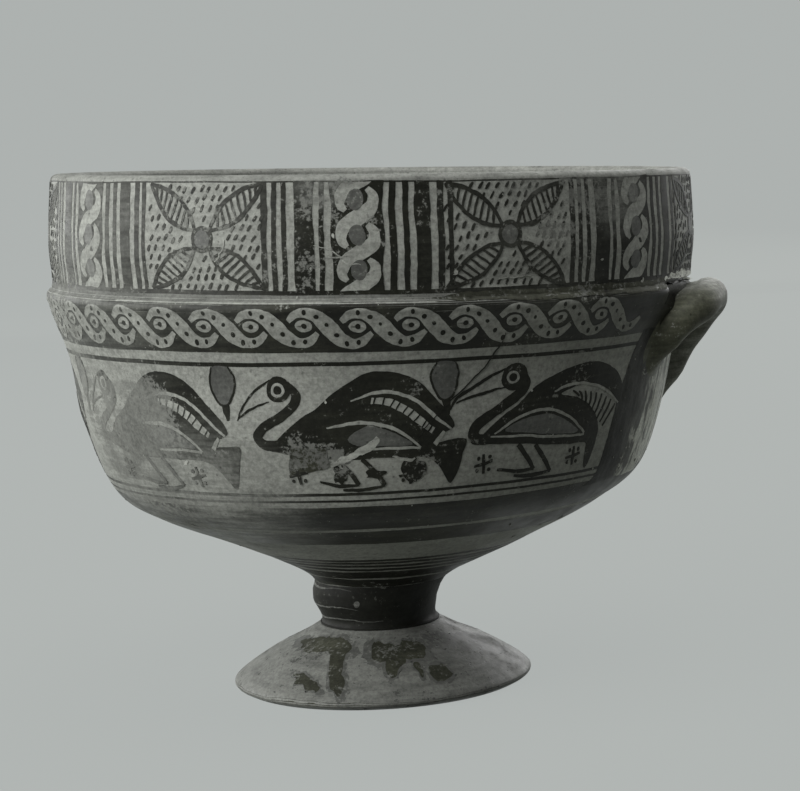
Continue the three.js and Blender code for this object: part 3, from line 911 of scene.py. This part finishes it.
fanBird = {             # a closed wing of hatched feathers; u runs from the eye, z is the height on the wall
    "head": (0.6, 106.9, 4.3),
    "neck": [(3.2, 107.4, 2.6), (4.5, 104.0, 3.2), (1.0, 100.4, 3.2), (-5.2, 96.8, 3.2), (-10.2, 93.8, 3.3),
             (-12.0, 91.2, 3.4), (-10.6, 89.0, 3.2), (-6.0, 88.4, 3.0)],
    "bill": [([(-2.6, 109.6), (-7.4, 107.6), (-12.6, 104.8), (-17.6, 101.6), (-19.0, 98.6)], 0.95),
             ([(-2.2, 103.8), (-7.0, 103.2), (-12.4, 102.2), (-17.4, 100.6)], 0.85)],
    "body": [(-9.4, 89.6), (-3.4, 94.6), (2.2, 98.2), (6.8, 102.4), (12.0, 105.6), (19.0, 108.2), (25.5, 109.6),
             (32.0, 108.9), (38.6, 106.6), (43.4, 102.8), (45.2, 99.0), (44.2, 94.0), (40.6, 97.4), (35.0, 100.6),
             (27.0, 102.6), (21.0, 101.8), (17.6, 100.4), (24.0, 98.6), (30.2, 95.2), (34.4, 90.6), (36.2, 85.6),
             (35.6, 79.6), (33.6, 75.2), (31.8, 79.2), (31.0, 83.6), (24.0, 84.2), (12.0, 85.2), (0.0, 86.4),
             (-9.0, 87.4)],
    "lines": [[(14.8, 101.4, 0.5), (19.8, 102.9, 0.9), (26.0, 103.0, 0.9), (32.4, 101.3, 0.8), (38.0, 98.3, 0.8),
               (44.0, 94.4, 0.5)],
              [(-5.2, 90.0, 0.5), (1.0, 93.2, 0.8), (7.6, 95.6, 0.9), (14.6, 95.6, 0.9), (22.0, 92.7, 0.8),
               (29.4, 86.9, 0.6)],
              [(-6.2, 89.2, 0.5), (6.0, 88.2, 0.8), (18.0, 87.2, 0.8), (29.6, 86.5, 0.6)]],
    "eye": (0.0, 106.8, 1.65, 0.75),
    "belly": [(-1.6, 90.4), (4.0, 93.2), (10.0, 94.5), (15.2, 94.1), (21.0, 91.6), (26.2, 87.7), (12.0, 88.5)],
    "hatching": 9,
    "hatchTop": ((22.0, 100.9), (42.4, 94.2)),
    "hatchFoot": ((24.6, 98.9), (37.6, 87.8)),
    "hatchBow": (0.3, 1.6),
    "legs": [((3.6, 85.8), (10.6, 77.6), (-2.6, 78.6)), ((10.0, 85.2), (17.6, 76.6), (3.6, 76.0))],     # top, heel, toe
    "legWidth": (1.5, 1.2),
    "bud": -20.8,
    "fillers": [(26.4, 80.2), (-7.6, 81.2)],
}
featherBand = [(27.4, 102.5, 1.6), (32.0, 101.7, 2.2), (35.6, 100.1, 2.4), (39.0, 98.0, 2.4), (42.4, 95.0, 2.4),
               (45.4, 92.6, 1.8)]
barBird = {             # a long back and a barred feather band
    "head": (0.2, 106.1, 3.7),
    "neck": [(2.6, 107.6, 2.2), (5.2, 104.6, 2.8), (4.6, 101.4, 2.9), (0.4, 98.0, 2.9), (-4.6, 95.2, 2.9),
             (-7.2, 92.4, 3.0), (-5.4, 90.0, 3.2), (-0.6, 89.6, 3.2)],
    "bill": [([(-2.2, 109.0), (-5.8, 106.8), (-8.8, 104.0), (-11.6, 100.4), (-13.0, 97.4)], 0.8),
             ([(-2.6, 102.6), (-6.0, 101.4), (-9.6, 100.2), (-13.0, 97.8)], 0.7)],
    "body": [(-5.0, 88.6), (-1.0, 91.4), (3.8, 95.6), (9.8, 99.6), (13.8, 103.0), (18.8, 107.2), (24.6, 110.3),
             (30.0, 111.0), (36.2, 109.6), (41.4, 106.6), (45.8, 102.2), (50.2, 97.6), (52.0, 94.2), (50.4, 92.4),
             (47.4, 91.2), (46.2, 88.8), (49.2, 89.4), (55.4, 89.6), (54.4, 85.0), (53.0, 80.0), (51.0, 76.4),
             (49.0, 78.6), (46.6, 81.8), (43.4, 84.2), (37.4, 84.8), (28.0, 85.2), (18.0, 85.4), (6.4, 85.6),
             (-1.0, 87.4)],
    "lines": [[(21.4, 102.8, 0.4), (26.6, 104.4, 0.9), (32.0, 104.7, 1.0), (37.2, 103.3, 1.0), (41.6, 100.7, 1.0),
               (46.0, 96.8, 1.0), (51.0, 92.8, 0.6)],
              [(14.4, 95.1, 0.4), (20.2, 96.0, 0.9), (24.6, 96.2, 1.0), (28.8, 95.6, 1.0), (33.2, 94.0, 1.0),
               (37.6, 91.1, 0.9), (41.6, 87.5, 0.6)],
              [(24.0, 87.9, 0.5), (32.0, 88.0, 0.8), (41.4, 87.3, 0.7)], featherBand,
              [(48.6, 92.2, 0.7), (47.0, 90.0, 1.3), (45.8, 88.4, 1.4)]],
    "eye": (0.0, 105.9, 1.65, 0.85),
    "belly": [(26.0, 95.0), (30.6, 94.0), (35.2, 91.6), (39.2, 88.4), (30.0, 88.8), (24.0, 89.0), (20.0, 91.6)],
    "bars": 9,
    "barStart": 0.6,        # of a bar's step
    "barSteps": 9.2,
    "barHalf": 1.3,
    "legs": [((16.0, 85.6), (22.0, 77.4), (10.0, 78.6)), ((23.6, 85.4), (30.0, 76.8), (17.0, 76.2))],
    "legWidth": (1.4, 1.1),
    "bud": -17.2,
    "fillers": [(3.4, 80.8), (37.6, 79.6)],
}


def hatching(line):             # of the closed wing
    bow, rise = fanBird["hatchBow"]
    (top0, top1), (foot0, foot1) = ([Vector(p) for p in fanBird[key]] for key in ("hatchTop", "hatchFoot"))
    for k in range(fanBird["hatching"]):
        t = k / (fanBird["hatching"] - 1)
        top = top0.lerp(top1, t) + Vector((0, rise * math.sin(math.pi * t)))
        low = foot0.lerp(foot1, t)
        brushLine(line, [top, (top + low) / 2 + Vector((bow, 0)), low], 0.75, 0.7, 3)


def bars(line):                 # across the feather band
    spine = smoothLine([p[:2] for p in featherBand], 8)
    last = len(spine) - 1
    for k in range(barBird["bars"]):
        i = min(int((k + barBird["barStart"]) / barBird["barSteps"] * last), last - 2)
        run = (spine[i + 1] - spine[i]).normalized()
        out = Vector((-run.y, run.x)) * barBird["barHalf"]
        brushLine(line, [spine[i] + out, spine[i], spine[i] - out], 0.5, 0.8, 2)


def midway(a, b, du=0, dz=0):
    return (a[0] + b[0]) / 2 + du, (a[1] + b[1]) / 2 + dz


def birdDrawings(bird, feathers):
    dark, pale, mid, line = (bmesh.new() for _ in range(4))
    disc(dark, *bird["head"])
    stroke(dark, bird["neck"])
    for points, width in bird["bill"]:
        brushLine(dark, points, width)
    blob(dark, bird["body"], 4)
    for points in bird["lines"]:
        stroke(pale, points)
    hoop(pale, *bird["eye"])
    blob(mid, bird["belly"], 4)
    feathers(line)
    shank, toes = bird["legWidth"]
    for top, heel, toe in bird["legs"]:
        brushLine(line, [top, midway(top, heel, 0.3), heel], shank, 0.9, 3)
        brushLine(line, [heel, midway(heel, toe, 0, -0.6), toe], toes, 0.6, 4)
    bud = [(bird["bud"] + u, z) for u, z in frieze["bud"]]      # it hangs from the upper line
    blob(mid, bud, 4)
    brushLine(line, bud, 0.65, 0.6)
    stroke(dark, [(bird["bud"] + u, z, width) for u, z, width in frieze["budTip"]])
    for u, z in bird["fillers"]:        # a small cross with a dot in each corner
        for du, dz in frieze["cross"]:
            brushLine(line, [(u + du, z + dz), (u, z), (u - du, z - dz)], 1.0, 0.8, 3)
        aside, size = frieze["crossDot"]
        for su, sz in corners:
            disc(line, u + aside * su, z + aside * sz, size, 1, 10)
    return [asLayer(bm, layers[key]) for bm, key in ((dark, "dark"), (pale, "pale"), (mid, "mid"), (line, "line"))]


birds = [birdDrawings(fanBird, hatching), birdDrawings(barBird, bars)]
places = [(kind, frieze["eye"] - k * frieze["pitch"], frieze["seeds"] + k) for k, kind in enumerate(frieze["kinds"])]
birdCoats = (("paint_bird_bodies", darkPaint, darkClay), ("paint_bird_lines", paleSlip, paleClay),
             ("paint_bird_fills", midPaint, darkClay), ("paint_bird_details", darkPaint, darkClay))
for layer, (name, coat, slot) in enumerate(birdCoats):
    layPaint(name, [(birds[kind][layer], turn, seed) for kind, turn, seed in places], coat, frieze["radius"])
print("frieze painted")


def along(rows, radius=frieze["radius"]):       # rows that start with an angle, with the length round the wall instead
    return [(math.radians(turn) * radius, *rest) for turn, *rest in rows]


def darkZone():             # plain dark paint behind the handle
    bm = bmesh.new()
    left, right = (smoothLine(along(frieze[side]), 6) for side in ("zoneLeft", "zoneRight"))
    blob(bm, left + right, soft=False)
    return asLayer(bm, layers["zone"], 3, 3)


layPaint("paint_handle_ground", [(darkZone(), 0, 7)], streakedPaintAndSheen, frieze["radius"])


# Paint on foot and stem

footPaint = {
    "radius": 33,
    "drop": 0.93,           # the paint keeps this far down the slope from the stem
    "patches": [[(-72, 16.6), (-60, 18.2), (-44, 18.7), (-28, 18.6), (-21, 16.4), (-25, 15.0), (-36, 15.3),
                 (-52, 14.6)],      # angle, height
                [(-35, 16), (-24, 16), (-20, 12), (-16, 7.6), (-17.5, 5.2), (-21, 6.4), (-26, 10.4), (-29, 13)],
                [(-5, 18.6), (8, 17.2), (24, 17.6), (29, 15.6), (23, 13), (12, 13.6), (4, 12.8), (-5, 14.6)],
                [(3, 14), (13, 14), (9, 11.4), (5.6, 9.4), (3.2, 11)],
                [(23, 10.6), (31, 10.4), (32, 8.4), (27.6, 6.8), (22.6, 7.6)],
                [(16.6, 12), (19.4, 12), (19, 9.8), (17.4, 8.8)],
                [(-44, 9.6), (-36, 9), (-27, 7), (-29, 5.8), (-40, 7.2)],
                [(100, 18.6), (124, 18.4), (130, 15), (118, 12.4), (108, 14.6)],
                [(150, 18.4), (176, 18.6), (186, 16.4), (170, 13), (164, 8), (158, 6.6), (156, 12.6)],
                [(212, 18.6), (238, 18.2), (250, 15.6), (236, 13.8), (222, 14.6)],
                [(226, 11), (236, 10), (232, 7), (224, 8)]],
    "thin": [[(34, 18.4), (52, 18.2), (74, 16.6), (92, 13.4), (84, 9.4), (66, 10.2), (48, 13.2), (36, 15)]],
    "halo": 1.35,           # thin paint reaches this much further than a patch
    "stem": 20,
    "streaks": [(-95, -26, 33.0, 0.9), (-92, -18, 26.8, 0.8), (-84, 4, 22.7, 0.7), (96, 168, 27.4, 0.8),
                (130, 214, 22.8, 0.7)],     # on the stem: angles, height, width
    "streakWave": (0.25, 0.12),
    "drip": [(-18, 28.6, 0.9, 1.3)],
}


def washDrawing(shapes, lift, grow=1.0):
    bm = bmesh.new()
    for shape in shapes:
        drawn = [Vector((u, z * footPaint["drop"])) for u, z in along(shape, footPaint["radius"])]
        middle = sum(drawn, Vector((0, 0))) / len(drawn)
        blob(bm, [middle + (p - middle) * grow for p in drawn], 6)
    return asLayer(bm, lift, 1.2, 0.8)


def streakDrawing():
    bm = bmesh.new()
    size, beat = footPaint["streakWave"]
    for start, end, z, width in footPaint["streaks"]:
        turns = [start + (end - start) * k / 6 for k in range(7)]
        marks = [(turn, z + size * math.sin(turn * beat), width * (1 - k / 7)) for k, turn in enumerate(turns)]
        stroke(bm, along(marks, footPaint["stem"]))
    for drip in along(footPaint["drip"], footPaint["stem"]):
        disc(bm, *drip, 12)
    return asLayer(bm, layers["band"], 1.5, 0.6)


def layFootPaint(name, drawing, seed, coat, edge):
    layPaint(name, [(drawing, 0, seed)], coat, footPaint["radius"], wobble=0.3, edge=edge)


layFootPaint("paint_foot_patches", washDrawing(footPaint["patches"], layers["dark"]), 11, darkWashAndShade, 0.8)
layFootPaint("paint_foot_halo", washDrawing(footPaint["patches"], layers["zone"], footPaint["halo"]), 11, thinWash, 1.4)
layFootPaint("paint_foot_thin_wash", washDrawing(footPaint["thin"], layers["band"]), 12, thinWash, 0.9)
layPaint("paint_stem_streaks", [(streakDrawing(), 0, 13)], thinWash, footPaint["stem"], wobble=0.2)
print("foot and stem painted")


# Chips and a hairline crack

damage = {
    "chips": [(51.5, 133.7, 0.8, 0.6), (13.0, 139.0, 0.9, 0.6), (-38.0, 84.0, 1.0, 0.8)],    # angle, height, half sizes
    "flakes": [[(-8.4, 83.4, 0.6), (-5.6, 85.4, 1.9), (-3.2, 87.2, 2.2), (-0.6, 89.4, 2.6), (0.6, 91.6, 1.0)],
               [(2.8, 85.6, 0.4), (5.2, 84.2, 1.1), (7.0, 84.4, 0.5)]],      # angle, height, width
    "scratches": [[(-9.5, 147.5), (-6, 145.5), (-4.5, 142.6), (-2, 141.8)],
                  [(-7.5, 144.2), (-5, 143.8), (-3.6, 144.6)],
                  [(-26, 143), (-24.6, 146), (-24, 149)], [(20, 136.6), (23, 137.4), (26, 137.0)]],
    "specks": 190,
    "speckSize": (0.14, 0.3),       # the least, and what a few of them have on top
    "speckZones": ((48, 116), (116, 163)),
    "break": [(60.0, 133.4, 1.3, 0.5), (62.4, 134.0, 1.7, 0.7), (65.4, 134.6, 1.4, 0.9), (68.2, 134.9, 1.6, 1.0),
              (75.6, 132.2, 1.6, 1.9)],
    "breakLine": [(60.6, 133.3, 0.4), (63.0, 133.8, 1.3), (66.0, 133.7, 2.0), (69.0, 134.1, 2.4), (72.0, 133.8, 1.9),
                  (75.0, 133.2, 2.6), (78.0, 132.6, 1.6)],
    "lean": 0.25,           # chips and the break rise to the right
    # the first three are dark patches over the broken ridge by the handle, painted shade in the break; the rest are
    # dark flakes in the frieze
    "spalls": [(71.0, 128.6, 24.0, 4.8), (65.0, 127.6, 11.0, 3.8), (67.0, 132.7, 13.0, 1.6), (41.5, 131.0, 1.7, 1.5),
               (-7.0, 80.6, 2.4, 3.4), (-0.6, 80.4, 4.0, 1.7), (6.4, 81.2, 3.8, 4.0)],
    # the first smear is a rubbed dark mark; the second, along the ridge right of the front, is painted shade that dulls
    # where the lamps light the ridge's top
    "smears": [[(-15.6, 89.6), (-9.0, 88.8), (-8.6, 83.0), (-16.4, 80.8)],
               [(9, 132.2), (14, 133.2), (24, 133.6), (40, 133.6), (54, 133.7), (66, 133.6), (67, 130.4), (54, 130.5),
                (40, 130.3), (24, 130.5), (14, 130.9)]],
    "crack": [(22.0, 121.0), (21.4, 117.0), (20.0, 113.0), (18.4, 109.5), (15.0, 104.0), (11.6, 99.0), (9.6, 95.0),
              (7.4, 91.0)],
    "ragged": (13, 0.55, 1.15),     # points of a patch, and how far in and out they lie
    "cut": (2, 0.7),
}


def raggedPatches(bm, rows, hand, lean=0.0):
    count, near, far = damage["ragged"]
    for u, z, du, dz in along(rows):
        ring = [2 * math.pi * k / count for k in range(count)]
        blob(bm, [(u + du * math.cos(a) * hand.uniform(near, far),
                   z + dz * math.sin(a) * hand.uniform(near, far) + lean * du * math.cos(a)) for a in ring], 3)


def chipDrawing():
    bm = bmesh.new()
    hand = random.Random(3)
    raggedPatches(bm, damage["chips"], hand, damage["lean"])
    for path in damage["flakes"]:
        stroke(bm, along(path))
    for path in damage["scratches"]:
        brushLine(bm, along(path), 0.35)
    least, more = damage["speckSize"]
    for _ in range(damage["specks"]):
        size = least + more * hand.random() ** 3
        place = along([(hand.uniform(-180, 180), hand.choice([hand.uniform(*zone) for zone in damage["speckZones"]]))])
        disc(bm, *place[0], size, hand.uniform(0.6, 1.5), 7)
    return asLayer(bm, layers["chip"], *damage["cut"])


def breakDrawing():
    bm = bmesh.new()
    raggedPatches(bm, damage["break"], random.Random(5), damage["lean"])
    stroke(bm, along(damage["breakLine"]))
    return asLayer(bm, layers["chip"], *damage["cut"])


def spallDrawing():
    bm = bmesh.new()
    raggedPatches(bm, damage["spalls"], random.Random(8))
    return asLayer(bm, layers["line"], *damage["cut"])


def smearDrawing():
    bm = bmesh.new()
    for patch in damage["smears"]:
        blob(bm, along(patch), soft=False)
    return asLayer(bm, layers["line"], *damage["cut"])


def crackDrawing():
    bm = bmesh.new()
    brushLine(bm, along(damage["crack"]), 0.3)
    return asLayer(bm, layers["crack"], 3, 2)


layPaint("bare_chips", [(chipDrawing(), 0, 5)], chippedClay, frieze["radius"], 0.1, 0.6)
layPaint("broken_edge", [(breakDrawing(), 0, 6)], brokenClayHighlight, frieze["radius"], 0.1, 0.6)
layPaint("dark_spalls_and_break_shade", [(spallDrawing(), 0, 9)], darkPaint, frieze["radius"], edge=0.5)
layPaint("smear_and_ridge_shade", [(smearDrawing(), 0, 4)], darkWashAndShade, frieze["radius"], edge=0.5)
layPaint("hairline_crack", [(crackDrawing(), 0, 6)], darkSolid, frieze["radius"], wobble=0.5)
print("chips and crack made")


# Floor and lamps, in metres, and the camera

stage = {
    "level": grey(177, (0.985, 1.01, 1.0)),
    "glow": 0.97,           # share of the floor's tone that the lamps don't change
    "matt": grey(94),       # what the lamps find there
    "paper": grey(236),     # what the camera finds of it, with the bowl's shadow
    "width": 9.0,
    "sweep": [(-4.0, 0), (0.9, 0), (1.6, 0.04), (2.3, 0.2), (2.9, 0.55), (3.3, 1.1), (3.5, 1.9),
              (3.5, 4.5)],      # distance behind the bowl, height
    "room": 0.045,          # light from all round
    "aim": 0.09,            # the lamps look at this height
}
lamps = {       # angle as seen from the bowl, minus to the left; distance, height, size, watts
    "window": (-70, 1.6, 0.68, (1.5, 1.2), 31),
    "sideGlow": (-126, 1.5, 0.45, (1.0, 0.8), 7),
    "frontFill": (-24, 2.2, 1.9, (1.2, 1.2), 11),
    "skylight": (40, 0.45, 1.9, (1.4, 1.4), 23),
    "rightGlow": (146, 1.5, 0.62, (1.4, 0.9), 12),
}


def paperFinish():
    material = bpy.data.materials.new("palePaper")
    material.use_nodes = True
    tree = material.node_tree
    tree.nodes.clear()
    rays = addNode(tree, "ShaderNodeLightPath").outputs
    seen = rays["Is Camera Ray"]
    for kind in ("Is Glossy Ray", "Is Transmission Ray"):
        seen = addNode(tree, "ShaderNodeMath", {0: seen, 1: rays[kind]}, operation="MAXIMUM").outputs[0]
    share = addNode(tree, "ShaderNodeMath", {0: seen, 1: stage["glow"]}, operation="MULTIPLY")
    tone = addNode(tree, "ShaderNodeMix", {0: seen, 6: stage["matt"], 7: stage["paper"]}, data_type="RGBA")
    matt = addNode(tree, "ShaderNodeBsdfDiffuse", {"Color": tone.outputs[2]})
    glow = addNode(tree, "ShaderNodeEmission", {"Color": stage["level"], "Strength": 1.0})
    mix = addNode(tree, "ShaderNodeMixShader", {0: share.outputs[0], 1: matt.outputs[0], 2: glow.outputs[0]})
    addNode(tree, "ShaderNodeOutputMaterial", {"Surface": mix.outputs[0]})
    return material


def sweepFloor():
    bm = bmesh.new()
    away = Vector((-leanWay.y, leanWay.x, 0))
    line = smoothLine(stage["sweep"], 8)
    side = leanWay * stage["width"] / 2
    edge = bm.edges.new([bm.verts.new(away * line[0].x + way * side) for way in (-1, 1)])
    for a, b in zip(line, line[1:]):
        edge = drawOut(bm, edge)
        step = away * (b.x - a.x) + Vector((0, 0, max(b.y, 0) - max(a.y, 0)))
        bmesh.ops.translate(bm, verts=list(edge.verts), vec=step)
    bmesh.ops.recalc_face_normals(bm, faces=bm.faces[:])
    mesh = asMesh(bm, "paper_sweep")
    mesh.shade_smooth()
    mesh.materials.append(paperFinish())
    floor = addObject("paper_sweep", mesh)


def setLamps():
    world = bpy.data.worlds.new("softRoom")
    scene.world = world
    world.use_nodes = True
    room = world.node_tree.nodes["Background"].inputs
    room["Color"].default_value = (1, 1, 1, 1)
    room["Strength"].default_value = stage["room"]
    for name, (turn, distance, height, size, watts) in lamps.items():
        data = bpy.data.lights.new(name, "AREA")
        data.shape = "RECTANGLE"
        data.size, data.size_y = size
        data.energy = watts
        lamp = addObject(name, data)
        lamp.location = polar(distance, turn + frontAngle, height)
        lamp.rotation_euler = (Vector((0, 0, stage["aim"])) - lamp.location).to_track_quat("-Z", "Y").to_euler()


def setCamera():
    data = bpy.data.cameras.new("viewer")
    data.lens = view["lens"]
    data.sensor_width = view["sensor"]
    data.sensor_fit = "HORIZONTAL"
    data.shift_x, data.shift_y = view["shift"]
    data.clip_start = view["nearest"]
    turn, pitch, roll = (math.radians(view[key]) for key in ("azimuth", "pitch", "roll"))
    ahead = Vector((-math.sin(turn) * math.cos(pitch), math.cos(turn) * math.cos(pitch), -math.sin(pitch)))
    up = leanWay.cross(ahead)
    right = leanWay * math.cos(roll) - up * math.sin(roll)
    up = up * math.cos(roll) + leanWay * math.sin(roll)
    stand = Vector((view["distance"] * math.sin(turn), -view["distance"] * math.cos(turn), view["height"]))
    axes = Matrix((right, up, -ahead)).transposed().to_4x4()
    camera = addObject("viewer", data)
    camera.matrix_world = Matrix.Translation((stand + kiln["axis"]) * mm) @ axes
    scene.camera = camera


sweepFloor()
setLamps()
setCamera()
print("stage, lamps and camera set")
